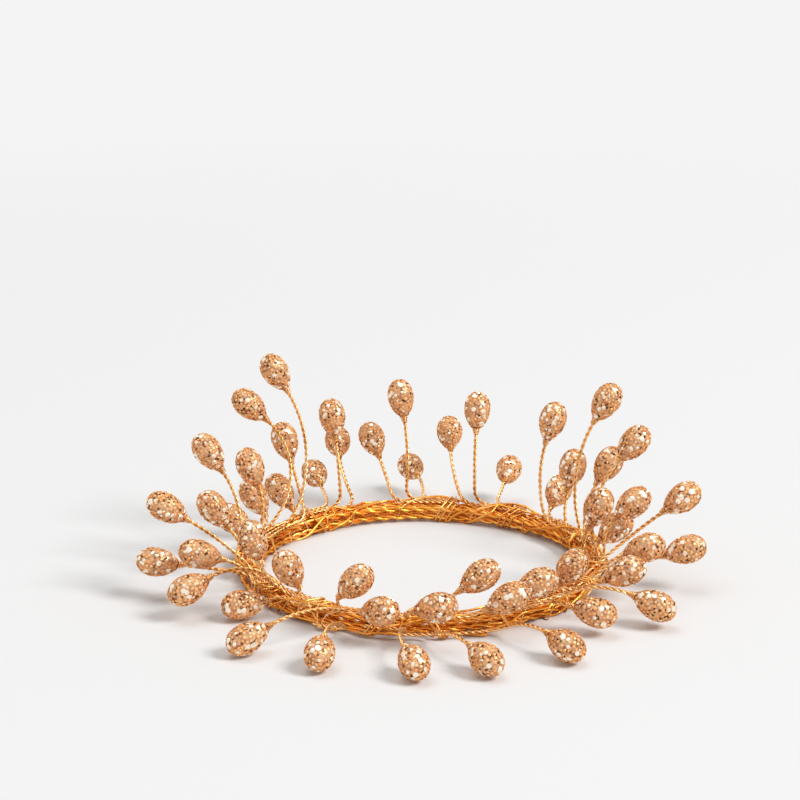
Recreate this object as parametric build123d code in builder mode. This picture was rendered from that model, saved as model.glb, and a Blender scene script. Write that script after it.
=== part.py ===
from build123d import *
import os
from itertools import combinations
from math import atan2, cos, degrees, radians, sin
from typing import NamedTuple, Optional

# A candle ring. A gold strand is laid up as one flat coil of two layers, and sprays of wire stems
# are tied to it with short wire bindings, most on top of it and some beside it. Each stem bends out
# of the bundle and ends in the bore of an egg-shaped bead. The ring lies flat, and its middle is open.
#
# Frame: the origin is in the middle of the opening, on the table, with +Z up and -Y to the front.
# Lengths are in millimetres and angles in degrees. A bearing of 0 points along +X and grows
# towards +Y, so the front of the ring is at -90.

os.makedirs("parts", exist_ok=True)

# Driving dimensions of the ring coil
opening = 116.0  # clear width inside the bindings
strand = 2.4  # thickness of the coiled strand
half_turns = 5  # half turns in each of the two layers
turn_gap = 0.8  # between neighbouring turns of a layer
layer_gap = 0.7  # between the two layers

# Driving dimensions of the bindings
binding_wire = 1.2  # thickness of the binding wire
binding_turns = 2  # turns of each binding
binding_gap = 0.6  # between the turns of a binding
wrap_gap = 0.2  # between a binding and what it holds
rest_cut = 0.5  # depth of the flats that the ring stands on

# Driving dimensions of the stems
stem = 1.5  # thickness of a stem
lane_gap = 0.5  # between neighbouring stems under a binding
seat_gap = 0.2  # between a stem and the coil that it is tied to
tail = 3.4  # how far a stem's tail runs past the middle of its binding
lead_least = 2.5  # lead of the shortest stem into its first bend
lead_share = 0.1  # what the lead gains for each millimetre that a stem spans

# Driving dimensions of the beads
bead_length = 16.2
bead_width = 11.2
tip_width = 2.6  # width of the blunt end that the stem enters
nose_length = 7.0  # from the widest place to the end of the nose
nose_taper = 0.6  # how much less the round nose's radius is than the widest place's
bore_depth = 4.0  # how deep a stem stands in its bead
bore_gap = 0.1  # between a stem and the wall of its bore
bore_end_gap = 0.3  # between a stem's end and the end of its bore
table_gap = 0.3  # between the table and the beads that lie lowest

# Sizes that follow from them
turn_pitch = strand + turn_gap
coil_inner = opening / 2 + binding_wire + wrap_gap + strand / 2
coil_outer = coil_inner + half_turns * turn_pitch / 2
lower_layer = binding_wire - rest_cut + wrap_gap + strand / 2
upper_layer = lower_layer + strand + layer_gap
lane_height = upper_layer + strand / 2 + seat_gap + stem / 2
lane_pitch = stem + lane_gap
side_lane = coil_outer + strand / 2 + seat_gap + stem / 2
belly = bead_width / 2
widest = bead_length - nose_length
nose = belly - nose_taper
nose_step = nose_length - nose
shoulder = (belly**2 - nose**2 + nose_step**2) / (2 * nose_taper)


class Sprig(NamedTuple):
    """One stem with its bead. The bead's middle stands `reach` bead widths out from the rim of
    the coil and `height` bead widths above the tied stems, or lies on the table if height is None.
    Its nose points `turn` away from straight outward and `rise` above level."""

    root: float  # bearing where the stem leaves its lane
    bearing: float  # bearing of the bead's middle
    reach: float
    height: Optional[float]
    turn: float
    rise: float


class Spray(NamedTuple):
    """The stems that one binding holds. Those over the coil lie side by side in lanes, from its rim
    inward, and those beside it lie one above another, from its lower layer up."""

    bound: float  # bearing of the binding
    flow: int  # +1 where the stems leave anticlockwise, -1 where clockwise
    over: list
    beside: list = []


# The sprays in order round the ring, from the front left over the right side and the back
sprays = [
    Spray(-120, +1, [
        Sprig(-117, -109, 0.30, 1.15, 85, 45),
        Sprig(-116, -125, 3.15, None, -28, -20),
        Sprig(-110.5, -101, 0.85, 0.48, 60, 14),
    ], [
        Sprig(-115.5, -109.5, 3.15, None, 12, -15),
    ]),
    Spray(-104, +1, [
        Sprig(-96, -87, 1.00, 0.70, 70, 14),
        Sprig(-95, -73, -0.15, 1.20, 75, 36),
    ], [
        Sprig(-92.5, -79, 3.25, None, 24, -12),
        Sprig(-98.5, -92, 3.35, None, 20, -12),
    ]),
    Spray(-85, +1, [
        Sprig(-79.5, -67, 0.55, 0.64, 65, 28),
        Sprig(-76, -56, 0.20, 0.80, 60, 22),
    ], [
        Sprig(-72, -62.5, 3.05, None, 15, -12),
    ]),
    Spray(-66, +1, [
        Sprig(-53, -48, 1.80, 0.10, 35, -11),
        Sprig(-50, -36, 2.80, 0.10, 20, -20),
        Sprig(-52, -42, 0.15, 0.95, 15, 58),
        Sprig(-44, -30, 1.30, 0.65, 25, 25),
    ]),
    Spray(-30, +1, [
        Sprig(-27, -22, 1.55, 1.15, 10, 22),
        Sprig(-21, -12, 2.65, 0.75, 10, 17),
        Sprig(-20, -8, 2.45, 2.30, 8, 37),
        Sprig(-26, -18, -0.15, 2.20, 10, 68),
    ]),
    Spray(-10, +1, [
        Sprig(-6, -3, 0.85, 1.85, 5, 42),
        Sprig(-5, 4, 0.40, 0.75, 25, 28),
        Sprig(0, 5, 0.95, 3.65, 0, 50),
        Sprig(6, 15, 0.30, 4.80, -10, 60),
    ]),
    Spray(16, +1, [
        Sprig(20, 25, 1.00, 2.20, -20, 60),
        Sprig(38, 46, 0.95, 0.60, 20, 28),
        Sprig(26, 33, 0.15, 1.95, 0, 75),
        Sprig(34, 42, 0.05, 3.45, -10, 70),
    ]),
    Spray(55, +1, [
        Sprig(60, 67, 2.25, 0.60, 10, 15),
        Sprig(66, 72, 0.50, 3.25, 10, 62),
        Sprig(70, 82, 1.75, 2.00, 10, 35),
    ]),
    Spray(80, +1, [
        Sprig(85, 92, 2.65, 0.40, 15, 5),
        Sprig(90, 96, 0.40, 3.65, 15, 65),
        Sprig(95, 103, 1.55, 1.85, 10, 38),
    ]),
    Spray(131, -1, [
        Sprig(126, 117, 2.35, 0.50, -10, 12),
        Sprig(123, 118, 0.55, 3.10, -10, 62),
        Sprig(118, 111, 2.25, 1.65, -15, 25),
    ]),
    Spray(162, -1, [
        Sprig(158, 150, 0.55, 0.95, 0, 55),
        Sprig(156, 147, 0.95, 4.10, 25, 40),
        Sprig(145, 137, 0.65, 0.75, 5, 45),
        Sprig(150, 139, 0.55, 5.15, 25, 57),
        Sprig(142, 134, 0.75, 2.50, 20, 72),
    ]),
    Spray(186, -1, [
        Sprig(182, 175, 1.00, 3.35, -10, 53),
        Sprig(176, 168, 0.40, 0.75, -15, 28),
        Sprig(170, 165, -0.15, 2.55, 15, 70),
    ]),
    Spray(212.5, -1, [
        Sprig(209, 205, 1.70, 1.10, -20, 15),
        Sprig(204, 197, 2.80, 0.60, -15, 8),
        Sprig(202, 195, 2.40, 2.30, -15, 31),
        Sprig(194, 185, 0.75, 1.75, -15, 52),
    ]),
    Spray(233, -1, [
        Sprig(225, 219, 1.15, None, -30, -5),
        Sprig(230, 228.5, 0.20, 1.10, -10, 60),
        Sprig(223, 220, 0.80, 1.95, 10, 72),
        Sprig(219.5, 212, 2.55, 0.40, -15, -25),
    ]),
]


def polar(bearing, radius, height):
    """The point at a bearing, a distance from the ring's axis and a height."""
    return Vector(radius, 0, height).rotate(Axis.Z, bearing)


def heading(bearing, rise=0):
    """The unit vector along a bearing, tilted up by the rise."""
    return Vector(1, 0, 0).rotate(Axis.Y, -rise).rotate(Axis.Z, bearing)


def across(path):
    """The plane square to a path at its start, for the section that is swept along it."""
    return Plane(origin=path @ 0, z_dir=path % 0)


def least_gap(path, width, apart, samples=24):
    """The least clearance of a wound tube to itself, measured on points along its middle line,
    a number of samples on each edge. Only points further than `apart` along the tube count."""
    points = []
    run = 0
    for edge in path.wires()[0].order_edges():
        points += [(run + edge.length * step / samples, edge @ (step / samples)) for step in range(samples)]
        run += edge.length
    pairs = combinations(points, 2)
    return min((q - p).length for (place, p), (other, q) in pairs if other - place > apart) - width


def lanes(spray):
    """Each sprig of a spray, with the distance and the height of the lane that its stem lies in."""
    for place, sprig in enumerate(spray.over):
        yield sprig, coil_outer - place * lane_pitch, lane_height
    for place, sprig in enumerate(spray.beside):
        yield sprig, side_lane, lower_layer + place * lane_pitch


def bead_axis(sprig):
    """The way that a sprig's bead points, from its tip to its nose."""
    return heading(sprig.bearing + sprig.turn, sprig.rise)


def bead_tip(sprig):
    """The blunt end of a sprig's bead, where the stem enters."""
    axis = bead_axis(sprig)
    if sprig.height is None:
        tilt = radians(sprig.rise)
        depth = shoulder - (shoulder - belly) * cos(tilt) + (bead_length / 2 - widest) * sin(tilt)
        height = table_gap + depth
    else:
        height = lane_height + sprig.height * bead_width
    middle = polar(sprig.bearing, coil_outer + sprig.reach * bead_width, height)
    return middle - axis * (bead_length / 2)


def knee(start, leaving, end, arriving):
    """The point where a stem's two bends meet, each an arc and tangent to the other."""
    span = end - start
    lead = lead_least + lead_share * span.length
    run_in = span.dot(span) / 2 - lead * span.dot(leaving)
    run_in /= span.dot(arriving) - lead * (leaving.dot(arriving) - 1)
    near = start + leaving * lead
    far = end - arriving * run_in
    return near + (far - near) * (lead / (lead + run_in))


# Ring coil: half turns spiral in on the lower layer, one half turn climbs, and as many spiral out
inward = [coil_outer - step * turn_pitch / 2 for step in range(half_turns + 1)]
stops = [(radius, lower_layer) for radius in inward]
stops += [(radius, upper_layer) for radius in reversed(inward)]
joints = [Vector(radius * (-1) ** step, 0, height) for step, (radius, height) in enumerate(stops)]

with BuildPart() as ring_coil:
    with BuildLine() as coil_path:
        Line(joints[0] - Vector(0, strand, 0), joints[0])
        for step, (start, end) in enumerate(zip(joints, joints[1:])):
            bulge = Vector(0, (-1) ** step * (end - start).length / 2, 0)
            turn = ThreePointArc(start, (start + end) / 2 + bulge, end)
        Line(turn @ 1, turn @ 1 + (turn % 1) * strand)
    with BuildSketch(across(coil_path.line)):
        Circle(strand / 2)
    sweep(path=coil_path.line)
ring_coil.part.label = "ring_coil"
export_step(ring_coil.part, "parts/ring_coil.step")
print(f"ring coil: least gap to itself {least_gap(coil_path, strand, coil_inner):.2f} mm")

# Bindings: each one winds round the coil and the stems that lie at it, square at the corners
inner_side = opening / 2 + binding_wire / 2
under_side = binding_wire / 2 - rest_cut
upper_side = lane_height + stem / 2 + wrap_gap + binding_wire / 2
wrap_corner = strand / 2 + wrap_gap + binding_wire / 2
side_step = (binding_wire + binding_gap) / 4
wrap_length = 4 * binding_turns * side_step


def wrap_points(outer_side):
    """The points of a binding about the bundle, from under its middle round to there again."""
    corners = [
        (outer_side, under_side),
        (outer_side, upper_side),
        (inner_side, upper_side),
        (inner_side, under_side),
    ]
    middle = ((inner_side + outer_side) / 2, under_side)
    turns = [
        (*corner, (4 * turn + side + 0.5) * side_step - wrap_length / 2)
        for turn in range(binding_turns)
        for side, corner in enumerate(corners)
    ]
    return [(*middle, -wrap_length / 2), *turns, (*middle, wrap_length / 2)]


for number, spray in enumerate(sprays, start=1):
    bundle_side = side_lane + stem / 2 if spray.beside else coil_outer + strand / 2
    outer_side = bundle_side + wrap_gap + binding_wire / 2
    with BuildPart() as binding:
        section = Plane((0, 0, 0), x_dir=heading(spray.bound), z_dir=heading(spray.bound - 90))
        with BuildLine(section) as wrap:
            FilletPolyline(*wrap_points(outer_side), radius=wrap_corner)
        with BuildSketch(across(wrap.line)):
            Circle(binding_wire / 2)
        sweep(path=wrap.line)
        split(bisect_by=Plane.XY, keep=Keep.TOP)
    binding.part.label = f"binding_{number:02d}"
    export_step(binding.part, f"parts/binding_{number:02d}.step")
print(f"bindings: least gap to itself {least_gap(wrap, binding_wire, upper_side):.2f} mm")

# Bead: an egg-shaped drop turned about its own axis, with the bore for its stem in the blunt end
with BuildPart() as bead:
    with BuildSketch(Plane.XZ):
        with BuildLine():
            crown_edge = degrees(atan2(nose_step, shoulder - belly))
            crown = CenterArc((0, bead_length - nose), nose, 90, crown_edge - 90)
            bulge = TangentArc(crown @ 1, (belly, widest), tangent=crown % 1)
            flank = TangentArc(bulge @ 1, (tip_width / 2, 0), tangent=bulge % 1)
            bore = Polyline(
                flank @ 1,
                (stem / 2 + bore_gap, 0),
                (stem / 2 + bore_gap, bore_depth + bore_end_gap),
                (0, bore_depth + bore_end_gap),
            )
            Line(bore @ 1, crown @ 0)
        make_face()
    revolve(axis=Axis.Z)

# Sprays: stems run side by side under their binding, and each bends out to its bead
for number, spray in enumerate(sprays, start=1):
    with BuildPart() as stems:
        for sprig, radius, height in lanes(spray):
            along = spray.flow * 90
            tail_angle = spray.bound - spray.flow * degrees(tail / radius)
            start = polar(tail_angle, radius, height)
            root = polar(sprig.root, radius, height)
            leaving = heading(sprig.root + along)
            tip = bead_tip(sprig)
            axis = bead_axis(sprig)
            with BuildLine() as stem_path:
                TangentArc(start, root, tangent=heading(tail_angle + along))
                bend = TangentArc(root, knee(root, leaving, tip, axis), tangent=leaving)
                TangentArc(bend @ 1, tip, tangent=bend % 1)
                Line(tip, tip + axis * bore_depth)
            with BuildSketch(across(stem_path.line)):
                Circle(stem / 2)
            sweep(path=stem_path.line)
    stems.part.label = f"spray_{number:02d}_stems"
    export_step(stems.part, f"parts/spray_{number:02d}_stems.step")

    with BuildPart() as beads:
        places = [Plane(bead_tip(sprig), z_dir=bead_axis(sprig)) for sprig in spray.over + spray.beside]
        with Locations(*places):
            add(bead.part)
    beads.part.label = f"spray_{number:02d}_beads"
    export_step(beads.part, f"parts/spray_{number:02d}_beads.step")
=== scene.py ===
# %% [markdown]
# # A candle ring of gold wire and glittered drops
#
# The ring is a wreath that lies flat on a table. A bundle of gold strands forms the round, and short
# sprays of twisted wire are tied to it. Each wire ends in a clear drop that is rolled in glitter. The
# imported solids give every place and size. This lesson dresses them, piece by piece: first the camera
# and the room, then the finishes, then wire, bindings, drops and glitter.

# %% Load the frame
import bpy
import random
from math import atan2, cos, degrees, pi, radians, sin, tan
from typing import Callable, NamedTuple, Optional
from mathutils import Matrix, Vector


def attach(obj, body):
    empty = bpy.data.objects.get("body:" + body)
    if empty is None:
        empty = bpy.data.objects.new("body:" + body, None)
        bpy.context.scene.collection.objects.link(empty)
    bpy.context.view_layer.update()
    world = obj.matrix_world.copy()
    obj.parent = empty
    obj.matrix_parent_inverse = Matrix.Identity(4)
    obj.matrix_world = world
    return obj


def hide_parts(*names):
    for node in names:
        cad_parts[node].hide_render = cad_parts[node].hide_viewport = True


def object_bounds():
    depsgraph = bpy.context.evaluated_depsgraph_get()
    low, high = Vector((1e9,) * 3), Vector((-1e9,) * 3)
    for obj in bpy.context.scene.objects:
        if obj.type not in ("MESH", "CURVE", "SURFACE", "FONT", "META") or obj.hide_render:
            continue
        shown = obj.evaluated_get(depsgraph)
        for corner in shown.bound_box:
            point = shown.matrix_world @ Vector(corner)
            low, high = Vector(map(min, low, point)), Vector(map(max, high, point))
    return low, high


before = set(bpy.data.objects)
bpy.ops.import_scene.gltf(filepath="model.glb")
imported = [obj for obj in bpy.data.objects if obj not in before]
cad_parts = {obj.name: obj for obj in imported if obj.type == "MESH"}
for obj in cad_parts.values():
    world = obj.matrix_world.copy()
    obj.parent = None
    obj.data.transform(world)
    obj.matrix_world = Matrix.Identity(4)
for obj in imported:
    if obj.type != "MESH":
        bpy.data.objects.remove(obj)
cad_low, cad_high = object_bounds()
cad_size = [round(1000 * side) for side in cad_high - cad_low]
print("solids to dress:", len(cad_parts), "size in mm:", cad_size)

# %% [markdown]
# ## Camera
#
# The photograph looks down on the ring from the front. The tilt of a camera decides how open the
# ellipse of the ring is, and its distance how much smaller the back looks than the front. This one
# stands well back with a long lens, so the ellipse stays calm and the drops at the back are nearly as
# large as those in front.

# %% Camera
mm = 0.001
image_width = 800
focal_pixels = 2200
camera_place = (-8.06 * mm, -781.7 * mm, 274.4 * mm)
camera_tilt = radians(75.13)
bpy.ops.object.camera_add(location=camera_place, rotation=(camera_tilt, 0, 0))
camera = bpy.context.object
camera.data.sensor_width = 36
camera.data.lens = focal_pixels / image_width * camera.data.sensor_width
bpy.context.scene.camera = camera
print("lens in mm:", camera.data.lens)

# %% [markdown]
# ## A small language for nodes
#
# A finish is a graph of nodes. Written out link by link it is hard to read, so two small classes do the
# wiring: a graph adds nodes and feeds their sockets, and a field stands for one output and turns Python
# sums into Math nodes.


# %% Fields
class Field:
    """One output of a node. Sums of fields add Math nodes to their graph."""

    def __init__(self, graph, socket):
        self.graph = graph
        self.socket = socket

    def math(self, operation, *values):
        inputs = dict(enumerate(values))
        return self.graph.node("ShaderNodeMath", {"operation": operation}, inputs)

    def __add__(self, other):
        return self.math("ADD", self, other)

    def __sub__(self, other):
        return self.math("SUBTRACT", self, other)

    def __rsub__(self, other):
        return self.math("SUBTRACT", other, self)

    def __mul__(self, other):
        return self.math("MULTIPLY", self, other)

    def __gt__(self, other):
        return self.math("GREATER_THAN", self, other)

    __radd__ = __add__
    __rmul__ = __mul__


print("fields can be added, subtracted, multiplied and compared")


# %% Graphs
class Graph:
    """A node tree that is filled by short calls."""

    def __init__(self, tree):
        self.tree = tree

    def feed(self, socket, value):
        if isinstance(value, Field):
            self.tree.links.new(value.socket, socket)
        else:
            socket.default_value = value

    def node(self, kind, settings=None, inputs=None, output=0):
        node = self.tree.nodes.new(kind)
        for key, value in (settings or {}).items():
            if key == "stops":
                set_stops(node.color_ramp, value)
            else:
                setattr(node, key, value)
        for key, value in (inputs or {}).items():
            self.feed(node.inputs[key], value)
        return Field(self, node.outputs[output]) if node.outputs else None

    def ramp(self, factor, stops, interpolation="LINEAR"):
        ramp = self.node("ShaderNodeValToRGB", {"stops": stops}, {0: factor})
        ramp.socket.node.color_ramp.interpolation = interpolation
        return ramp


def set_stops(ramp, stops):
    """Gives a colour ramp its stops, each a place and a colour."""
    while len(ramp.elements) < len(stops):
        ramp.elements.new(1)
    for element, (place, colour) in zip(ramp.elements, stops):
        element.position = place
        element.color = (*colour, 1)


print("graphs can add nodes and feed their sockets")


# %% Finishes
class Finish(Graph):
    """A material with one main shader."""

    def __init__(self, name, **constants):
        self.material = bpy.data.materials.new(name)
        self.material.use_nodes = True
        super().__init__(self.material.node_tree)
        self.shader = self.tree.nodes["Principled BSDF"]
        self.place = self.node("ShaderNodeTexCoord", output="Object")
        for key, value in constants.items():
            self.set(key.replace("_", " ").title().replace("Ior", "IOR"), value)

    def set(self, socket, value):
        self.feed(self.shader.inputs[socket], value)

    def noise(self, scale, detail=2.0, roughness=0.5, output=0):
        inputs = {"Vector": self.place, "Scale": scale, "Detail": detail, "Roughness": roughness}
        return self.node("ShaderNodeTexNoise", inputs=inputs, output=output)

    def bump(self, height, strength, distance):
        inputs = {"Strength": strength, "Distance": distance, "Height": height}
        self.set("Normal", self.node("ShaderNodeBump", inputs=inputs))


print("ready to mix finishes")

# %% [markdown]
# ## Room
#
# The ring stands in a white room without corners. A curved backdrop would do, but it shows in other
# views. So the floor is a disc whose edge turns clear, and the world behind it has the same white. The
# world shows that white to the eye and to mirrors, and lights the rest more gently, so that the lamps
# can model the round forms. The stronger lamp stands on the right, because the soft shadows fall to the
# left.

# %% Floor
floor_tone = 0.80
floor_radius = 1.6
fade_start = 0.25
fade_end = 1.3
bpy.ops.mesh.primitive_circle_add(vertices=96, radius=floor_radius, fill_type="NGON")
floor = bpy.context.object
floor.name = "floor"

paper_tone = (floor_tone, floor_tone, floor_tone, 1)
paper = Finish("paper_floor", roughness=0.9, base_color=paper_tone, specular_ior_level=0.1)
distance = paper.node("ShaderNodeVectorMath", {"operation": "LENGTH"}, {0: paper.place}, output="Value")
fade = {0: distance, 1: fade_start, 2: fade_end}
edge = paper.node("ShaderNodeMapRange", {"interpolation_type": "SMOOTHSTEP"}, fade)
clear = paper.node("ShaderNodeBsdfTransparent")
faded = paper.node("ShaderNodeMixShader", None, {0: edge, 1: Field(paper, paper.shader.outputs[0]), 2: clear})
paper.feed(paper.tree.nodes["Material Output"].inputs["Surface"], faded)
floor.data.materials.append(paper.material)
print("floor radius in m:", floor_radius)

# %% World
room_white = 0.905
sky_light = 0.46
world = bpy.data.worlds.new("white_room")
bpy.context.scene.world = world
world.use_nodes = True
sky = Graph(world.node_tree)
to_eye = sky.node("ShaderNodeLightPath", output="Is Camera Ray")
rays = to_eye.socket.node.outputs
seen = to_eye + Field(sky, rays["Is Glossy Ray"]) + Field(sky, rays["Is Transmission Ray"])
seen.socket.node.use_clamp = True
backdrop = world.node_tree.nodes["Background"]
sky.feed(backdrop.inputs["Color"], (1, 1, 1, 1))
sky.feed(backdrop.inputs["Strength"], seen * (room_white - sky_light) + sky_light)
print("room white:", room_white, "light of the sky:", sky_light)

# %% Lamps
ring_middle = Vector((0, 0, 20 * mm))


def soft_box(name, place, size, watts):
    """A square lamp that faces the middle of the ring."""
    bpy.ops.object.light_add(type="AREA", location=place)
    lamp = bpy.context.object
    lamp.name = name
    lamp.data.shape = "SQUARE"
    lamp.data.size = size
    lamp.data.energy = watts
    aim = ring_middle - Vector(place)
    lamp.rotation_euler = aim.to_track_quat("-Z", "Y").to_euler()


soft_box("key_light", place=(4.5, -2.1, 5.1), size=2.7, watts=350.0)
soft_box("top_light", place=(-0.9, 0.6, 5.4), size=3.6, watts=68.0)
bpy.context.scene.view_settings.view_transform = "Standard"

# %% [markdown]
# ## Gold wire
#
# Plated wire is a mirror that is not quite clean: its colour drifts from copper to pale gold along the
# wire, handling leaves dull patches, and drawing leaves fine scratches. One flat gold would look like
# plastic, so noise of four sizes makes the drift, its grain, the patches and the scratches. One recipe
# in three shades serves the strand, the bindings and the stems.

# %% Gold finishes
drift_share = 0.75
least_roughness = 0.12
patch_roughness = 0.25
scratch_depth = 0.05 * mm


def gold_wire(name, deep, middle, pale):
    """Plated wire: drifting colour, dull patches and fine scratches."""
    gold = Finish(name, metallic=1.0, specular_tint=(1.0, 0.93, 0.82, 1))
    drift = gold.noise(scale=90.0, detail=3.0)
    grain = gold.noise(scale=900.0)
    tone = drift * drift_share + grain * (1 - drift_share)
    gold.set("Base Color", gold.ramp(tone, [(0.30, deep), (0.50, middle), (0.72, pale)]))
    patches = gold.noise(scale=240.0, detail=4.0, roughness=0.6)
    gold.set("Roughness", patches * patch_roughness + least_roughness)
    gold.bump(gold.noise(scale=2600.0), strength=0.25, distance=scratch_depth)
    return gold.material


strand_gold = gold_wire("strand_gold", (0.48, 0.15, 0.014), (0.90, 0.38, 0.060), (1.00, 0.58, 0.17))
binding_gold = gold_wire("binding_gold", (0.50, 0.18, 0.026), (0.84, 0.40, 0.10), (0.96, 0.63, 0.26))
stem_gold = gold_wire("stem_gold", (0.50, 0.22, 0.055), (0.88, 0.49, 0.19), (1.00, 0.76, 0.45))
print("gold finishes:", strand_gold.name, binding_gold.name, stem_gold.name)

# %% [markdown]
# ## Sizes and the plan of the sprays
#
# The plan repeats what the solids were laid out by: where each spray is bound, where each stem leaves
# the bundle, and where its drop stands and points. A bearing of 0 is to the right and -90 to the front.
# The twist and the glitter could be put on the solids as they are, but wire and drops that are made
# afresh from the same plan keep clean meshes, and they still fall on the solids.

# %% Sizes of the bundle
strand = 2.4 * mm
half_turns = 5
turn_pitch = strand + 0.8 * mm
coil_inner = 60.6 * mm
coil_outer = coil_inner + half_turns * turn_pitch / 2
lower_layer = 2.1 * mm
upper_layer = 5.2 * mm
stem = 1.5 * mm
lane_pitch = 2.0 * mm
lane_height = 7.35 * mm
side_lane = coil_outer + strand / 2 + 0.2 * mm + stem / 2
tail = 3.4 * mm
lead_least = 2.5 * mm
lead_share = 0.1
print("bundle in mm, inside and outside:", round(coil_inner / mm, 1), round(coil_outer / mm, 1))

# %% Sizes of a drop
drop_length = 16.2 * mm
drop_width = 11.2 * mm
tip_width = 2.6 * mm
nose_length = 7.0 * mm
nose_taper = 0.6 * mm
bore_depth = 4.0 * mm
table_gap = 0.3 * mm
belly = drop_width / 2
widest = drop_length - nose_length
nose = belly - nose_taper
nose_step = nose_length - nose
shoulder = (belly**2 - nose**2 + nose_step**2) / (2 * nose_taper)
print("radii of nose and shoulder in mm:", round(nose / mm, 1), round(shoulder / mm, 1))


# %% Rows of the plan
class Sprig(NamedTuple):
    """One stem and its drop. Reach and height are in drop widths; a height of None lies on the table."""

    root: float
    bearing: float
    reach: float
    height: Optional[float]
    turn: float
    rise: float


class Spray(NamedTuple):
    """The stems under one binding, over the coil and beside it, and the way that they leave it."""

    bound: float
    flow: int
    over: list
    beside: list = []


print("a sprig has:", ", ".join(Sprig._fields))

# %% Plan of the sprays
sprays = [
    Spray(-120, +1, [
        Sprig(-117, -109, 0.30, 1.15, 85, 45),
        Sprig(-116, -125, 3.15, None, -28, -20),
        Sprig(-110.5, -101, 0.85, 0.48, 60, 14),
    ], [
        Sprig(-115.5, -109.5, 3.15, None, 12, -15),
    ]),
    Spray(-104, +1, [
        Sprig(-96, -87, 1.00, 0.70, 70, 14),
        Sprig(-95, -73, -0.15, 1.20, 75, 36),
    ], [
        Sprig(-92.5, -79, 3.25, None, 24, -12),
        Sprig(-98.5, -92, 3.35, None, 20, -12),
    ]),
    Spray(-85, +1, [
        Sprig(-79.5, -67, 0.55, 0.64, 65, 28),
        Sprig(-76, -56, 0.20, 0.80, 60, 22),
    ], [
        Sprig(-72, -62.5, 3.05, None, 15, -12),
    ]),
    Spray(-66, +1, [
        Sprig(-53, -48, 1.80, 0.10, 35, -11),
        Sprig(-50, -36, 2.80, 0.10, 20, -20),
        Sprig(-52, -42, 0.15, 0.95, 15, 58),
        Sprig(-44, -30, 1.30, 0.65, 25, 25),
    ]),
    Spray(-30, +1, [
        Sprig(-27, -22, 1.55, 1.15, 10, 22),
        Sprig(-21, -12, 2.65, 0.75, 10, 17),
        Sprig(-20, -8, 2.45, 2.30, 8, 37),
        Sprig(-26, -18, -0.15, 2.20, 10, 68),
    ]),
    Spray(-10, +1, [
        Sprig(-6, -3, 0.85, 1.85, 5, 42),
        Sprig(-5, 4, 0.40, 0.75, 25, 28),
        Sprig(0, 5, 0.95, 3.65, 0, 50),
        Sprig(6, 15, 0.30, 4.80, -10, 60),
    ]),
    Spray(16, +1, [
        Sprig(20, 25, 1.00, 2.20, -20, 60),
        Sprig(38, 46, 0.95, 0.60, 20, 28),
        Sprig(26, 33, 0.15, 1.95, 0, 75),
        Sprig(34, 42, 0.05, 3.45, -10, 70),
    ]),
    Spray(55, +1, [
        Sprig(60, 67, 2.25, 0.60, 10, 15),
        Sprig(66, 72, 0.50, 3.25, 10, 62),
        Sprig(70, 82, 1.75, 2.00, 10, 35),
    ]),
    Spray(80, +1, [
        Sprig(85, 92, 2.65, 0.40, 15, 5),
        Sprig(90, 96, 0.40, 3.65, 15, 65),
        Sprig(95, 103, 1.55, 1.85, 10, 38),
    ]),
    Spray(131, -1, [
        Sprig(126, 117, 2.35, 0.50, -10, 12),
        Sprig(123, 118, 0.55, 3.10, -10, 62),
        Sprig(118, 111, 2.25, 1.65, -15, 25),
    ]),
    Spray(162, -1, [
        Sprig(158, 150, 0.55, 0.95, 0, 55),
        Sprig(156, 147, 0.95, 4.10, 25, 40),
        Sprig(145, 137, 0.65, 0.75, 5, 45),
        Sprig(150, 139, 0.55, 5.15, 25, 57),
        Sprig(142, 134, 0.75, 2.50, 20, 72),
    ]),
    Spray(186, -1, [
        Sprig(182, 175, 1.00, 3.35, -10, 53),
        Sprig(176, 168, 0.40, 0.75, -15, 28),
        Sprig(170, 165, -0.15, 2.55, 15, 70),
    ]),
    Spray(212.5, -1, [
        Sprig(209, 205, 1.70, 1.10, -20, 15),
        Sprig(204, 197, 2.80, 0.60, -15, 8),
        Sprig(202, 195, 2.40, 2.30, -15, 31),
        Sprig(194, 185, 0.75, 1.75, -15, 52),
    ]),
    Spray(233, -1, [
        Sprig(225, 219, 1.15, None, -30, -5),
        Sprig(230, 228.5, 0.20, 1.10, -10, 60),
        Sprig(223, 220, 0.80, 1.95, 10, 72),
        Sprig(219.5, 212, 2.55, 0.40, -15, -25),
    ]),
]
print("sprays:", len(sprays), "drops:", sum(len(spray.over + spray.beside) for spray in sprays))


# %% Where a drop stands
def polar(bearing, radius, height):
    """The point at a bearing, a distance from the ring's axis and a height."""
    return Vector((radius * cos(radians(bearing)), radius * sin(radians(bearing)), height))


def heading(bearing, rise=0):
    """The unit vector along a bearing, tilted up by the rise."""
    return polar(bearing, cos(radians(rise)), sin(radians(rise)))


def drop_axis(sprig):
    """The way that a drop points, from its tip to its nose."""
    return heading(sprig.bearing + sprig.turn, sprig.rise)


def drop_tip(sprig):
    """The narrow end of a drop, where its stem enters."""
    axis = drop_axis(sprig)
    if sprig.height is None:
        tilt = radians(sprig.rise)
        depth = shoulder - (shoulder - belly) * cos(tilt) + (drop_length / 2 - widest) * sin(tilt)
        height = table_gap + depth
    else:
        height = lane_height + sprig.height * drop_width
    return polar(sprig.bearing, coil_outer + sprig.reach * drop_width, height) - axis * (drop_length / 2)


def lanes(spray):
    """Each sprig of a spray, with the distance and the height of the lane that its stem lies in."""
    for place, sprig in enumerate(spray.over):
        yield sprig, coil_outer - place * lane_pitch, lane_height
    for place, sprig in enumerate(spray.beside):
        yield sprig, side_lane, lower_layer + place * lane_pitch


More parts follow.
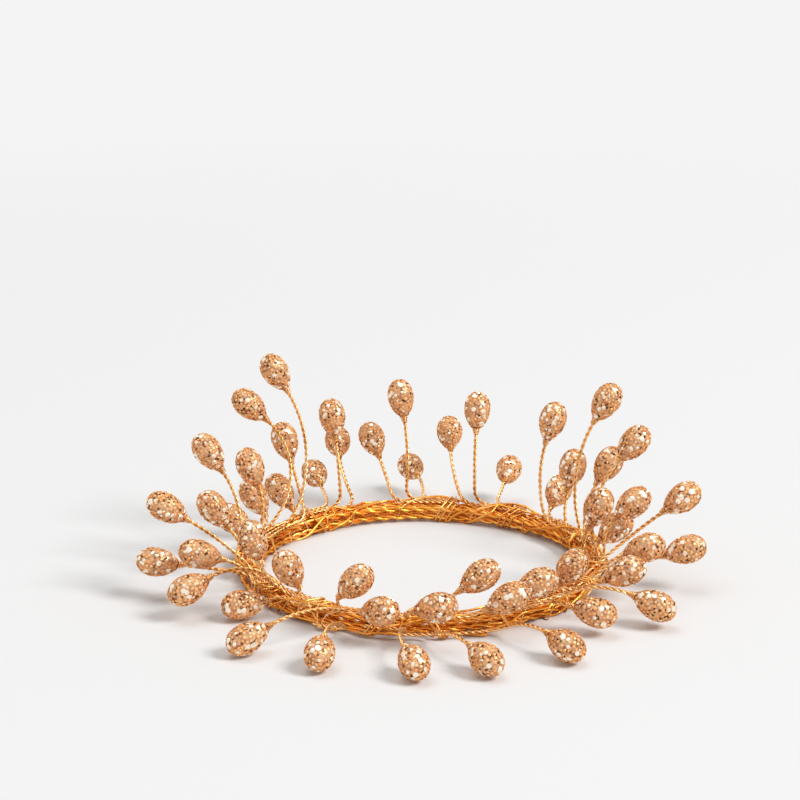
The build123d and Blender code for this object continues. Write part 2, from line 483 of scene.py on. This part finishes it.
highest = max(drop_tip(sprig).z for spray in sprays for sprig in spray.over)
print("highest tip in mm:", round(highest / mm, 1))

# %% [markdown]
# ## Helpers for work by hand
#
# Operators act on what is selected, so each step first selects its own object and nothing else. A
# finished piece is named, gets its finish, is set on the body that it rides on, and the solids that it
# stands for are hidden.


# %% Selecting, applying and settling
def take(*objects):
    """Selects these objects alone, and makes the first one active."""
    bpy.ops.object.select_all(action="DESELECT")
    for item in objects:
        item.select_set(True)
    bpy.context.view_layer.objects.active = objects[0]


def apply_all(item):
    """Applies every modifier, from first to last."""
    take(item)
    for modifier in list(item.modifiers):
        bpy.ops.object.modifier_apply(modifier=modifier.name)
    return item


def copy_of(item):
    """A copy with a mesh of its own."""
    take(item)
    bpy.ops.object.duplicate()
    return bpy.context.object


def joined(items):
    """Several objects as one."""
    take(*items)
    if len(items) > 1:
        bpy.ops.object.join()
    return bpy.context.object


def drop_object(item):
    """Removes a helper object that isn't a piece."""
    take(item)
    bpy.ops.object.delete()


def settle(piece, name, finish, slot, *nodes):
    """Names a finished piece, paints it, and sets it on the ring in place of its solids."""
    piece.name = name
    piece.data.name = name
    piece.data.materials.clear()
    piece.data.materials.append(finish)
    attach(piece, "root")
    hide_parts(*nodes)


# %% [markdown]
# ## Paths made of arcs
#
# Bent wire runs in arcs. It could be drawn with hundreds of points, but a Bezier curve follows an arc
# closely when its handles have the right length, so a path needs only the few points where one arc
# meets the next.

# %% Paths
nearly_straight = 1e-4


class ArcPath:
    """A path that grows arc by arc, each tangent to the one before."""

    def __init__(self, start, tangent):
        self.knots = [[start, start - tangent * mm, start]]
        self.tangent = tangent.normalized()

    def arc_to(self, end):
        """Adds the arc that leaves along the path's tangent and ends here."""
        knot = self.knots[-1]
        chord = end - knot[0]
        half_turn = self.tangent.angle(chord)
        reach = chord.length / 3
        if half_turn > nearly_straight:
            reach = 4 / 3 * tan(half_turn / 2) * chord.length / (2 * sin(half_turn))
        across = chord.normalized()
        arriving = 2 * self.tangent.dot(across) * across - self.tangent
        knot[2] = knot[0] + self.tangent * reach
        self.knots.append([end, end - arriving * reach, end + arriving * mm])
        self.tangent = arriving
        return self

    def curve(self, resolution=24):
        """The path as a Bezier curve that stretches what is laid along it."""
        bpy.ops.curve.primitive_bezier_curve_add()
        path = bpy.context.object
        points = path.data.splines[0].bezier_points
        points.add(len(self.knots) - 2)
        for point, (middle, before, after) in zip(points, self.knots):
            point.handle_left_type = "FREE"
            point.handle_right_type = "FREE"
            point.co = middle
            point.handle_left = before
            point.handle_right = after
        path.data.resolution_u = resolution
        path.data.use_stretch = True
        path.data.use_deform_bounds = True
        return path


quarter = ArcPath(Vector((1, 0, 0)), Vector((0, 1, 0))).arc_to(Vector((0, 1, 0))).knots[0]
print("handle of a quarter circle of radius 1:", round((quarter[2] - quarter[0]).length, 3))

# %% [markdown]
# ## Twisted wire
#
# Wire that is twisted together is a lay: round wires that wind about a common line. One pitch of the
# lay is a ring of circles, screwed forward through one turn. An array repeats that pitch, and a Curve
# modifier bends the straight rope along its path. So every wire is a real round wire, and the light
# breaks up on the twist as it does on the real ring.


# %% One pitch of a lay
def lay_pitch(wires, thickness, pitch, sides, steps):
    """One pitch of twisted wires, along X, that fills a given thickness."""
    spread = 1 / sin(pi / wires)
    wire = thickness / 2 / (1 + spread)
    middle = wire * spread
    slant = (1 + (2 * pi * middle / pitch) ** 2) ** 0.5
    circles = []
    for number in range(wires):
        bpy.ops.mesh.primitive_circle_add(vertices=sides, radius=wire, rotation=(0, pi / 2, 0))
        circle = bpy.context.object
        bpy.ops.object.transform_apply()
        bpy.ops.object.mode_set(mode="EDIT")
        bpy.ops.mesh.select_all(action="SELECT")
        bpy.ops.transform.resize(value=(1, 1, slant))
        bpy.ops.transform.translate(value=(0, middle, 0))
        bpy.ops.object.mode_set(mode="OBJECT")
        circle.rotation_euler.x = 2 * pi * number / wires
        bpy.ops.object.transform_apply()
        circles.append(circle)
    lay = joined(circles)
    screw = lay.modifiers.new("twist", "SCREW")
    screw.axis = "X"
    screw.angle = 2 * pi
    screw.screw_offset = pitch
    screw.steps = steps
    screw.render_steps = steps
    return apply_all(lay)


print("a pitch of twisted wire can be made")


# %% Laying the wire along a path
def laid_along(lay, pitch, arc_path, resolution=24):
    """The twisted wires, repeated along a path and closed at both ends."""
    path = arc_path.curve(resolution)
    length = path.data.splines[0].calc_length()
    rope = copy_of(lay)
    array = rope.modifiers.new("repeat", "ARRAY")
    array.use_relative_offset = False
    array.use_constant_offset = True
    array.constant_offset_displace = (pitch, 0, 0)
    array.count = max(1, round(length / pitch))
    array.use_merge_vertices = True
    array.merge_threshold = 0.01 * mm
    bend = rope.modifiers.new("bend", "CURVE")
    bend.object = path
    apply_all(rope)
    bpy.ops.object.mode_set(mode="EDIT")
    bpy.ops.mesh.select_all(action="SELECT")
    bpy.ops.mesh.fill_holes(sides=0)
    bpy.ops.mesh.normals_make_consistent(inside=False)
    bpy.ops.object.mode_set(mode="OBJECT")
    drop_object(path)
    take(rope)
    bpy.ops.object.shade_smooth()
    return rope


print("twisted wire can be laid along a path")

# %% [markdown]
# ## The ring strand
#
# The bundle is one strand of two twisted wires, wound flat: half turns spiral in on the lower layer,
# one half turn climbs, and as many spiral out on the upper layer. A ring of separate hoops would be
# easier, but the real strand has only two ends. Quarter arcs keep the Bezier path true to the round.

# %% Ring strand
inward = [coil_outer - step * turn_pitch / 2 for step in range(half_turns + 1)]
stops = [(radius, lower_layer) for radius in inward] + [(radius, upper_layer) for radius in reversed(inward)]
ends = [Vector((radius * (-1) ** step, 0, height)) for step, (radius, height) in enumerate(stops)]
coil = ArcPath(ends[0] - Vector((0, strand, 0)), Vector((0, 1, 0)))
coil.arc_to(ends[0])
for step, (start, end) in enumerate(zip(ends, ends[1:])):
    bulge = Vector((0, (-1) ** step * (end - start).length / 2, 0))
    coil.arc_to((start + end) / 2 + bulge)
    coil.arc_to(end)
coil.arc_to(ends[-1] + coil.tangent * strand)

strand_pitch = 12.0 * mm
strand_lay = lay_pitch(2, strand, strand_pitch, sides=12, steps=18)
ring_strand = laid_along(strand_lay, strand_pitch, coil, resolution=32)
settle(ring_strand, "ring_strand", strand_gold, "coil_gold", "ring_coil")
drop_object(strand_lay)
print("ring strand:", len(ring_strand.data.polygons), "faces")

# %% [markdown]
# ## Stems
#
# Each stem is a twisted pair. It lies in its own lane under the binding, leaves the bundle along its
# lane, and turns on two arcs that meet at a knee, so that it enters its drop straight along the drop's
# axis. Stems drawn freehand would soon run into each other, so these follow the plan of the solids.


# %% Path of a stem
def knee(start, leaving, end, arriving):
    """The point where a stem's two arcs meet."""
    span = end - start
    lead = lead_least + lead_share * span.length
    run_in = span.dot(span) / 2 - lead * span.dot(leaving)
    run_in /= span.dot(arriving) - lead * (leaving.dot(arriving) - 1)
    near = start + leaving * lead
    far = end - arriving * run_in
    return near + (far - near) * (lead / (lead + run_in))


def stem_path(spray, sprig, radius, height):
    """A stem's path from its tail in the bundle to its end inside the drop."""
    along = spray.flow * 90
    tail_bearing = spray.bound - spray.flow * degrees(tail / radius)
    root = polar(sprig.root, radius, height)
    tip = drop_tip(sprig)
    axis = drop_axis(sprig)
    path = ArcPath(polar(tail_bearing, radius, height), heading(tail_bearing + along))
    path.arc_to(root)
    path.arc_to(knee(root, heading(sprig.root + along), tip, axis))
    path.arc_to(tip)
    path.arc_to(tip + axis * bore_depth)
    return path


front = stem_path(sprays[0], *next(lanes(sprays[0])))
print("arcs in the path of a stem:", len(front.knots) - 1)

# %% Stems
stem_pitch = 4.8 * mm
stem_lay = lay_pitch(2, stem, stem_pitch, sides=8, steps=14)
for number, spray in enumerate(sprays, start=1):
    ropes = [laid_along(stem_lay, stem_pitch, stem_path(spray, *lane)) for lane in lanes(spray)]
    node = f"spray_{number:02d}_stems"
    settle(joined(ropes), f"spray_{number:02d}_twisted_stems", stem_gold, "stem_gold", node)
drop_object(stem_lay)
print("stems laid in", len(sprays), "sprays")

# %% [markdown]
# ## Bindings
#
# Each spray is tied on with a few turns of wire, pulled tight by hand. A taut wire follows the hull of
# what it ties: it runs straight from one outer wire to the next and bends only where it touches. So the
# wrap is drawn from the section of the bundle at its own bearing, and closes snugly over strands and
# stems.


# %% Section of the bundle
def strand_section(bearing):
    """The coil's strands at a bearing, each as a middle (distance, height) and a radius."""
    way = heading(bearing).xy
    section = []
    for step, (start, end) in enumerate(zip(ends, ends[1:])):
        if (way.y < 0) != (step % 2 == 1):
            continue
        centre = (start + end).xy / 2
        reach = (end - start).xy.length / 2
        along = centre.dot(way)
        distance = along + (reach**2 - centre.length_squared + along**2) ** 0.5
        share = way.angle(start.xy) / pi
        section.append((Vector((distance, start.z + (end.z - start.z) * share)), strand / 2))
    return section


def lane_section(bearing):
    """The stems that lie in their lanes at a bearing."""
    section = []
    for spray in sprays:
        for sprig, radius, height in lanes(spray):
            start = spray.bound - spray.flow * degrees(tail / radius)
            length = spray.flow * (sprig.root - start)
            if (spray.flow * (bearing - start)) % 360 <= length:
                section.append((Vector((radius, height)), stem / 2))
    return section


def snug(section, angle, clearance):
    """The point of a taut wire about a section, on the side that the angle gives."""
    way = Vector((cos(angle), sin(angle)))
    middle, radius = max(section, key=lambda wire: wire[0].dot(way) + wire[1])
    return middle + way * (radius + clearance)


at_front = -90
print("at the front:", len(strand_section(at_front)), "strands and", len(lane_section(at_front)), "stems")


# %% Winding a wire about the bundle
def winding(turns, samples, thickness, bearing_at, slack_at=lambda turn: 0, phase=-pi / 2):
    """Points of a wire that is wound about the bundle, and moves along it as evenly as it runs about it."""

    def taut(turn, bearing):
        section = strand_section(bearing) + lane_section(bearing)
        return snug(section, 2 * pi * turn + phase, thickness / 2 + slack_at(turn))

    steps = [sample / samples for sample in range(samples * turns + 1)]
    loop = [taut(turn, bearing_at(turn)) for turn in steps]
    run = [0.0]
    for before, after in zip(loop, loop[1:]):
        run.append(run[-1] + (after - before).length)
    points = []
    for turn, gone in zip(steps, run):
        bearing = bearing_at(turns * gone / run[-1])
        distance, height = taut(turn, bearing)
        points.append(polar(bearing, distance, max(height, thickness / 2)))
    return points


def eased(points, rounds):
    """The points with each bend eased, as stiff wire eases it."""
    for _ in range(rounds):
        inner = [(a + 2 * b + c) / 4 for a, b, c in zip(points, points[1:], points[2:])]
        points = [points[0], *inner, points[-1]]
    return points


def round_wire(points, thickness, resolution=3):
    """A round wire through the points, as a closed mesh."""
    bpy.ops.curve.primitive_nurbs_path_add()
    wire = bpy.context.object
    wire.data.splines.clear()
    spline = wire.data.splines.new("POLY")
    spline.points.add(len(points) - 1)
    for point, place in zip(spline.points, points):
        point.co = (*place, 1)
    wire.data.bevel_depth = thickness / 2
    wire.data.bevel_resolution = resolution
    wire.data.use_fill_caps = True
    take(wire)
    bpy.ops.object.convert(target="MESH")
    wire = bpy.context.object
    bpy.ops.object.mode_set(mode="EDIT")
    bpy.ops.mesh.select_all(action="SELECT")
    bpy.ops.mesh.remove_doubles(threshold=0.001 * mm)
    bpy.ops.mesh.normals_make_consistent(inside=False)
    bpy.ops.object.mode_set(mode="OBJECT")
    bpy.ops.object.shade_smooth()
    return wire


one_turn = winding(1, 48, 0, lambda turn: at_front)
girth = sum((after - before).length for before, after in zip(one_turn, one_turn[1:]))
print("once round the bundle at the front, in mm:", round(girth / mm, 1))

# %% Bindings
binding_wire = 0.7 * mm
binding_turns = 3
binding_slant = (2.2, 4.2)
binding_step = (1.2, 2.4)
hand = random.Random(11)
for number, spray in enumerate(sprays, start=1):
    side = hand.choice((-1, 1))
    slants = [side * hand.uniform(*binding_slant) for _ in range(binding_turns + 1)]
    step = degrees(hand.uniform(*binding_step) * binding_wire / coil_inner)

    def bearing_at(turn):
        whole = min(int(turn), binding_turns - 1)
        slant = slants[whole] + (slants[whole + 1] - slants[whole]) * (turn - whole)
        return spray.bound + (turn - binding_turns / 2) * step + slant * cos(2 * pi * turn)

    points = winding(binding_turns, 48, binding_wire, bearing_at)
    wrap = round_wire(eased(points, 1), binding_wire)
    settle(wrap, f"binding_{number:02d}_wire", binding_gold, "binding_gold", f"binding_{number:02d}")
print("bindings wound:", len(sprays))

# %% [markdown]
# ## Lacing
#
# A few single wires wander round the bundle on a long slant, over and under, and lace the strands
# together. They could be drawn by hand, but each is the same winding as a binding, only drawn out: five
# turns in the whole round, with a slow sway so that they don't run in parallel.

# %% Lacing wires
lacing_thickness = 0.9 * mm
lacing_turns = 5
lacing_span = 358
sway = 1.5
sway_pace = 9
lacing_starts = ((100, 0.3), (70, 2.2), (130, 4.4))
lacing = []
for start_bearing, phase in lacing_starts:

    def lacing_bearing(turn):
        even = start_bearing + lacing_span * turn / lacing_turns
        return even + sway * sin(sway_pace * turn + phase)

    points = winding(lacing_turns, 150, lacing_thickness, lacing_bearing, phase=phase)
    lacing.append(round_wire(eased(points, 4), lacing_thickness))
settle(joined(lacing), "lacing_wires", strand_gold, "coil_gold", "ring_coil")
print("lacing wires:", len(lacing))

# %% [markdown]
# ## Tie wire
#
# A finer wire runs all round the bundle and keeps the strands together. It is wound quickly, so its
# turns stand at uneven distances, lean to either side, and some are left slack and bow out at its foot.
# Even turns would look like a spring, so each turn draws its own distance, lean and slack.

# %% Tie wire
tie_thickness = 0.45 * mm
tie_turns = 22
tie_start = 100
tie_span = 359
tie_distance = (0.25, 1.75)
tie_lean = (-4.5, 4.5)
tie_slacks = (0, 0, 0.5, 0.9, 1.5)
turn_starts = [0.0]
leans = []
slacks = []
for _ in range(tie_turns):
    turn_starts.append(turn_starts[-1] + hand.uniform(*tie_distance))
    leans.append(hand.uniform(*tie_lean))
    slacks.append(hand.choice(tie_slacks) * mm)


def tie_bearing(turn):
    """The bearing that the tie wire has reached after so many turns."""
    whole = min(int(turn), tie_turns - 1)
    share = turn - whole
    place = turn_starts[whole] + (turn_starts[whole + 1] - turn_starts[whole]) * share
    return tie_start + tie_span * place / turn_starts[-1] + leans[whole] * sin(2 * pi * share)


def tie_slack(turn):
    """How far the tie wire bows out: only low on the outer side, and only in slack turns."""
    whole = min(int(turn), tie_turns - 1)
    return slacks[whole] * max(0, cos(2 * pi * (turn - whole) - pi / 4)) ** 4


points = winding(tie_turns, 36, tie_thickness, tie_bearing, tie_slack)
tie_wire = round_wire(eased(points, 2), tie_thickness, resolution=2)
settle(tie_wire, "tie_wire", stem_gold, "coil_gold", "ring_coil")
print("tie wire:", tie_turns, "turns,", len(tie_wire.data.polygons), "faces")

# %% [markdown]
# ## Drops
#
# A drop is a clear, champagne egg with a hammered skin. Its outline is three arcs, a round nose, a
# shoulder and a long flank, and a Screw modifier turns that outline about the drop's own axis. The
# smooth egg only serves as a mould: the drops themselves are cut from it in the next step.

# %% Smooth drop
flake_room = 0.42 * mm
drop_sides = 36
drop_weld = 0.005 * mm
rim = atan2(nose_step, shoulder - belly)
outline = ArcPath(Vector((0, 0, drop_length)), Vector((1, 0, 0)))
outline.arc_to(Vector((nose * cos(rim), 0, drop_length - nose + nose * sin(rim))))
outline.arc_to(Vector((belly, 0, widest)))
outline.arc_to(Vector((tip_width / 2, 0, 0)))
outline.tangent = Vector((-1, 0, 0))
outline.arc_to(Vector((0, 0, 0)))
drop_outline = outline.curve(resolution=8)
take(drop_outline)
bpy.ops.object.convert(target="MESH")
smooth_drop = bpy.context.object
turned = smooth_drop.modifiers.new("turn", "SCREW")
turned.axis = "Z"
turned.steps = drop_sides
turned.render_steps = drop_sides
turned.use_merge_vertices = True
turned.merge_threshold = drop_weld
apply_all(smooth_drop)
bpy.ops.object.mode_set(mode="EDIT")
bpy.ops.mesh.select_all(action="SELECT")
bpy.ops.mesh.remove_doubles(threshold=drop_weld)
bpy.ops.mesh.normals_make_consistent(inside=False)
bpy.ops.transform.shrink_fatten(value=-flake_room)
bpy.ops.object.mode_set(mode="OBJECT")
print("smooth drop:", len(smooth_drop.data.polygons), "faces, size in mm:",
      [round(side / mm, 2) for side in smooth_drop.dimensions])

# %% [markdown]
# ## Facets
#
# The skin of a drop is made of small flat patches that each catch the light in their own way. A Decimate
# modifier would cut such patches too, but unevenly. Here, points scattered evenly over the smooth egg
# are the corners, and their convex hull is a body with just those flat patches. Each patch keeps a
# random number, with which the drop finish paints it a little lighter or darker. This is painted
# reflection, which stands in for each patch mirroring its own part of a room.

# %% Cutting the facets
facet_gap = 1.35 * mm
densest = 4.0e6
model_seeds = (10, 20, 30, 40, 50)


def geometry_graph(name):
    """An empty node group that takes a geometry and gives one back."""
    group = bpy.data.node_groups.new(name, "GeometryNodeTree")
    group.interface.new_socket("Geometry", in_out="INPUT", socket_type="NodeSocketGeometry")
    group.interface.new_socket("Geometry", in_out="OUTPUT", socket_type="NodeSocketGeometry")
    return Graph(group)


def scattered(graph, surface, gap, seed):
    """Points spread evenly on a surface, none closer than the gap."""
    spread = {0: surface, "Distance Min": gap, "Density Max": densest, "Seed": seed}
    return graph.node("GeometryNodeDistributePointsOnFaces", {"distribute_method": "POISSON"}, spread)


def chance(graph, least, most, seed):
    """A random number for each part, from the least to the most."""
    limits = {2: least, 3: most, 8: seed}
    return graph.node("FunctionNodeRandomValue", {"data_type": "FLOAT"}, limits, output=1)


def shaped_by(item, graph):
    """A copy of an object that a node group has reshaped."""
    copy = copy_of(item)
    copy.modifiers.new("shape", "NODES").node_group = graph.tree
    return apply_all(copy)


def faceted(seed):
    """A drop that is cut in flat facets."""
    graph = geometry_graph(f"facets_{seed}")
    corners = scattered(graph, graph.node("NodeGroupInput"), facet_gap, seed)
    hull = graph.node("GeometryNodeConvexHull", None, {0: corners})
    # Each facet keeps a random number, which the drop finish turns into painted reflection: facets a little
    # lighter or darker.
    kept = graph.node("GeometryNodeStoreNamedAttribute", {"domain": "FACE"},
                      {0: hull, "Name": "facet", "Value": chance(graph, 0.0, 1.0, seed + 1)})
    graph.node("NodeGroupOutput", None, {0: kept})
    return shaped_by(smooth_drop, graph)


drop_models = [faceted(seed) for seed in model_seeds]
print("facets on each model:", [len(model.data.polygons) for model in drop_models])

# %% [markdown]
# ## Drop finish
#
# Under the glitter the drop is half clear and blotched: cream, peach and brown run into each other with
# ragged edges. Part of this is the drop's own mottling, and part is painted reflection: the brown, tan
# and cream blotches, and the facets that are a little lighter or darker, stand in for what a glass drop
# mirrors. Plain noise would blur them, so a Voronoi texture gives each blotch one colour, and noise that
# is added to its coordinates frays the edges. An amber glaze lies over all. It is a tinted coat that
# hardly mirrors: seen on the slant, its path is longer, so the drop turns deeper in colour towards its
# rim.

# %% Drop finish
amber_glaze = {"coat_weight": 1.0, "coat_ior": 1.04, "coat_tint": (1.0, 0.88, 0.71, 1)}
half_clear = {"transmission_weight": 0.50, "ior": 1.38, "specular_tint": (1.0, 0.82, 0.6, 1)}
fray_reach = 1.6 * mm
blotch_share = 0.8
dent_depth = 0.12 * mm
drop_least_roughness = 0.02
drop_patch_roughness = 0.16
clear_drop = Finish("clear_drop", **half_clear, **amber_glaze)
fray = clear_drop.noise(scale=900.0, detail=3.0, output=1)
frayed = clear_drop.node("ShaderNodeVectorMath", {"operation": "MULTIPLY_ADD"},
                         {0: fray, 1: (fray_reach, fray_reach, fray_reach), 2: clear_drop.place})
cells = clear_drop.node("ShaderNodeTexVoronoi", None, {"Vector": frayed, "Scale": 760.0}, output="Color")
blotch_and_reflection_tone = clear_drop.node("ShaderNodeSeparateColor", None, {0: cells})
facet = clear_drop.node("ShaderNodeAttribute", {"attribute_name": "facet"}, output=2)
# The drop's own mottling mixed with painted reflection: brown, tan and cream cells stand in for what the
# glass would mirror.
blotch_and_reflection_colours = [
    (0.08, (0.22, 0.11, 0.07)),
    (0.20, (0.66, 0.39, 0.28)),
    (0.45, (0.97, 0.60, 0.37)),
    (0.82, (1.0, 0.84, 0.66)),
]
# Painted reflection as well: each facet's random number makes it a little lighter or darker.
tone = blotch_and_reflection_tone * blotch_share + facet * (1 - blotch_share)
clear_drop.set("Base Color", clear_drop.ramp(tone, blotch_and_reflection_colours))
patches = clear_drop.noise(scale=1500.0, roughness=0.6)
clear_drop.set("Roughness", patches * drop_patch_roughness + drop_least_roughness)
clear_drop.bump(clear_drop.noise(scale=900.0), strength=0.4, distance=dent_depth)
print("drop blotches:", len(blotch_and_reflection_colours))

# %% [markdown]
# ## Glitter flakes
#
# The drops are rolled in glitter. A bumpy texture could hint at it, but real flakes flash one by one:
# they are thin and lie flat, so the outline of a drop stays smooth, and each tilts a little its own
# way. Most are peach and golden, and spread evenly. Broad pale glints and small dark dots are strewn
# among them by chance. The glints are pale mirror flakes whose cream-white colour is a painted
# highlight.

# %% One flake
flake_thickness = 0.25
bpy.ops.mesh.primitive_ico_sphere_add(subdivisions=1, radius=1.0 * mm)
flake = bpy.context.object
flake.name = "flake"
bpy.ops.object.mode_set(mode="EDIT")
bpy.ops.mesh.select_all(action="SELECT")
bpy.ops.transform.resize(value=(1, 1, flake_thickness))
bpy.ops.object.mode_set(mode="OBJECT")
print("faces of a flake:", len(flake.data.polygons))

# %% Sorts of flakes
strewn_share = 0.7


def strewn(graph, surface, gap, seed):
    """Points strewn on a surface in chance clusters, about a gap apart."""
    spread = {0: surface, "Density": strewn_share / gap**2, "Seed": seed}
    return graph.node("GeometryNodeDistributePointsOnFaces", {"distribute_method": "RANDOM"}, spread)


class Sort(NamedTuple):
    """One sort of flakes: how they are spread, their gap, their radii in mm, and their shades."""

    spread: Callable
    gap: float
    least: float
    most: float
    darkest: float
    palest: float


flake_sorts = [
    Sort(scattered, 1.25 * mm, 0.46, 0.74, 0.10, 0.84),
    # Pale glints: mirror flakes painted cream-white as highlights.
    Sort(strewn, 2.90 * mm, 0.50, 1.26, 0.86, 1.00),
    Sort(strewn, 2.30 * mm, 0.36, 0.64, 0.00, 0.09),
]
print("sorts of flakes:", len(flake_sorts))

# %% Scattering the flakes
most_tilt = 0.14
most_spin = 3.1


def flakes_on(graph, surface, sort, seed):
    """Flakes of one sort, of random size, tilt and shade, that lie flat on a surface."""
    points = sort.spread(graph, surface, sort.gap, seed)
    flat = Field(graph, points.socket.node.outputs["Rotation"])
    limits = {0: (-most_tilt, -most_tilt, -most_spin), 1: (most_tilt, most_tilt, most_spin), 8: seed}
    tilt = graph.node("FunctionNodeRandomValue", {"data_type": "FLOAT_VECTOR"}, limits)
    turn = graph.node("FunctionNodeRotateRotation", {"rotation_space": "LOCAL"},
                      {0: flat, 1: graph.node("FunctionNodeEulerToRotation", None, {0: tilt})})
    shape = graph.node("GeometryNodeObjectInfo", None, {0: flake}, output="Geometry")
    size = chance(graph, sort.least, sort.most, seed + 1)
    flakes = graph.node("GeometryNodeInstanceOnPoints", None,
                        {0: points, "Instance": shape, "Rotation": turn, "Scale": size})
    shade = chance(graph, sort.darkest, sort.palest, seed + 2)
    return graph.node("GeometryNodeStoreNamedAttribute", {"domain": "INSTANCE"},
                      {0: flakes, "Name": "glitter", "Value": shade})


def glittered(seed):
    """The flakes of one drop."""
    graph = geometry_graph(f"glitter_{seed}")
    surface = graph.node("NodeGroupInput")
    layers = graph.node("GeometryNodeJoinGeometry")
    for place, sort in enumerate(flake_sorts):
        graph.feed(layers.socket.node.inputs[0], flakes_on(graph, surface, sort, seed + 3 * place))
    solid = graph.node("GeometryNodeRealizeInstances", None, {0: layers})
    graph.node("NodeGroupOutput", None, {0: solid})
    return shaped_by(smooth_drop, graph)


flake_models = [glittered(seed) for seed in model_seeds]
flake_counts = [len(model.data.polygons) // len(flake.data.polygons) for model in flake_models]
print("flakes on each model:", flake_counts)

# %% [markdown]
# ## Glitter finish
#
# Each flake has one flat shade, which the number that it got when it was strewn picks from a ramp with
# hard steps. The dark dots and the peach and golden steps are the glitter's own colours. The mauve step
# is painted reflection, and the cream-white top step is painted highlight. A flake is a thin metal film
# under the same amber glaze as the drop. The glints are the flakes painted as highlights. They are the
# barest and most metallic: they keep less of the glaze, so they stay pale, but enough not to look like
# holes at the rim.

# %% Glitter finish
glint_from = 0.85
flake_metal = 0.3
glint_metal = 0.8
glint_glaze = 0.45
flake_least_roughness = 0.10
flake_patch_roughness = 0.2
glitter = Finish("glitter_flakes", **amber_glaze)
shade = glitter.node("ShaderNodeAttribute", {"attribute_name": "glitter"}, output=2)
# Dark dots, then a mauve step of painted reflection, peach and golden steps, and a cream-white step of
# painted highlight.
shades = [
    (0.00, (0.090, 0.034, 0.014)),
    (0.05, (0.21, 0.080, 0.026)),
    (0.10, (0.74, 0.48, 0.37)),
    (0.20, (0.97, 0.54, 0.27)),
    (0.48, (1.0, 0.61, 0.34)),
    (0.72, (1.0, 0.72, 0.47)),
    (0.86, (1.0, 0.95, 0.86)),
]
# Flakes past this number are the painted highlights.
painted_glint = shade > glint_from
glitter.set("Base Color", glitter.ramp(shade, shades, "CONSTANT"))
glitter.set("Metallic", painted_glint * (glint_metal - flake_metal) + flake_metal)
glitter.set("Coat Weight", 1 - painted_glint * (1 - glint_glaze))
patches = glitter.noise(scale=1200.0)
glitter.set("Roughness", patches * flake_patch_roughness + flake_least_roughness)
print("glitter shades:", len(shades))

# %% [markdown]
# ## Collars
#
# Where the stem enters the drop, fine wire is wound round both and closes the tip: a small cone of a
# few turns, wide on the drop and narrow on the stem. A plain cone would look like a cap, so it is a
# helix of wire whose radius shrinks on its way down.

# %% One collar
collar_wire = 0.40 * mm
collar_turns = 4
collar_samples = 56
collar_top = (0.50 * mm, 1.40 * mm)
collar_foot = (-1.7 * mm, stem / 2 + collar_wire / 5)
coils = []
for sample in range(collar_samples + 1):
    share = sample / collar_samples
    swing = 2 * pi * collar_turns * share
    along, reach = (top + (foot - top) * share for top, foot in zip(collar_top, collar_foot))
    coils.append(Vector((reach * cos(swing), reach * sin(swing), along)))
collar = round_wire(coils, collar_wire, resolution=1)
print("collar:", len(collar.data.polygons), "faces")

# %% Drops, flakes and collars on every stem
choose = random.Random(3)
for number, spray in enumerate(sprays, start=1):
    drops = []
    flakes = []
    collars = []
    for sprig in spray.over + spray.beside:
        axis = drop_axis(sprig)
        turn = axis.to_track_quat("Z", "Y").to_matrix().to_4x4()
        spin = Matrix.Rotation(choose.uniform(0, 2 * pi), 4, "Z")
        pose = Matrix.Translation(drop_tip(sprig)) @ turn @ spin
        variant = choose.randrange(len(drop_models))
        models = (drop_models[variant], flake_models[variant], collar)
        for model, pieces in zip(models, (drops, flakes, collars)):
            piece = copy_of(model)
            piece.data.transform(pose)
            pieces.append(piece)
    node = f"spray_{number:02d}_beads"
    settle(joined(drops), f"spray_{number:02d}_drops", clear_drop.material, "bead_glitter", node)
    settle(joined(flakes), f"spray_{number:02d}_flakes", glitter.material, "bead_glitter", node)
    stems = f"spray_{number:02d}_stems"
    settle(joined(collars), f"spray_{number:02d}_collars", stem_gold, "stem_gold", stems)
for model in [smooth_drop, flake, collar, *drop_models, *flake_models]:
    drop_object(model)
print("drops set on", len(sprays), "sprays")
